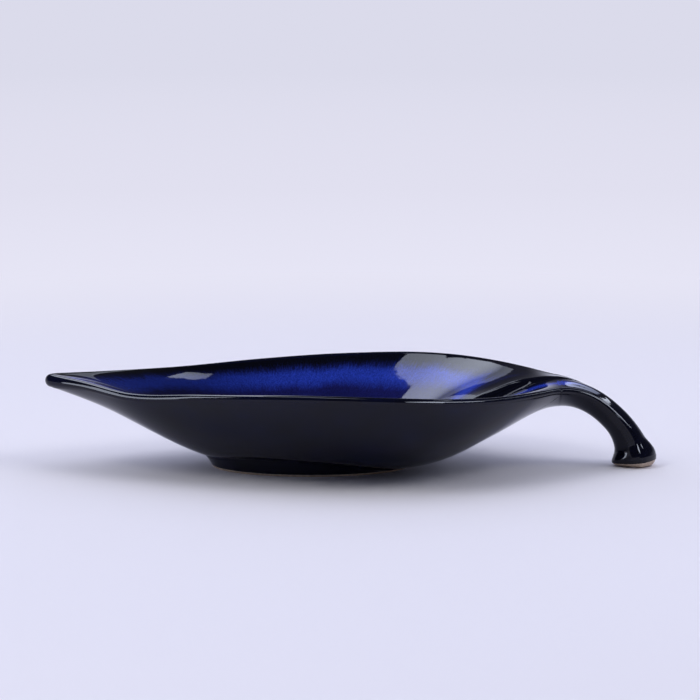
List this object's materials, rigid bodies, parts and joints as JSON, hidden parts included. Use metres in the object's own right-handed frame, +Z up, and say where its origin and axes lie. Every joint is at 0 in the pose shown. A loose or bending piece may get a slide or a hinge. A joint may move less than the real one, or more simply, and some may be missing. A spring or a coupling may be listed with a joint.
{
  "type": "ceramic platter",
  "caption": "Leaf-shaped ceramic serving dish with a pointed tip, a cobalt-glazed well, a black-glazed outside, a low oval foot ring and an arched stem handle that rests on the table.",
  "frame": {"origin": "on the table, under the middle of the whole platter's bounding box", "axes": "+X along the leaf from the tip towards the stem, +Y across the leaf, away from the camera, +Z up"},
  "size_m": [0.3094, 0.161, 0.0473],
  "materials": {
    "clay": "bare fired stoneware, matte",
    "slip": "fired clay slip, matte",
    "cobalt_glaze": "glossy streaked cobalt glaze",
    "black_glaze": "glossy black glaze"
  },
  "bodies": {
    "root": {"leaf_shell": "clay", "foot_ring": "clay", "stem_handle": "clay", "foot_slip_joint": "slip", "stem_slip_joint": "slip", "well_glaze": "cobalt_glaze", "outer_glaze": "black_glaze", "recess_glaze": "black_glaze", "stem_glaze": "black_glaze"}
  },
  "joints": []
}
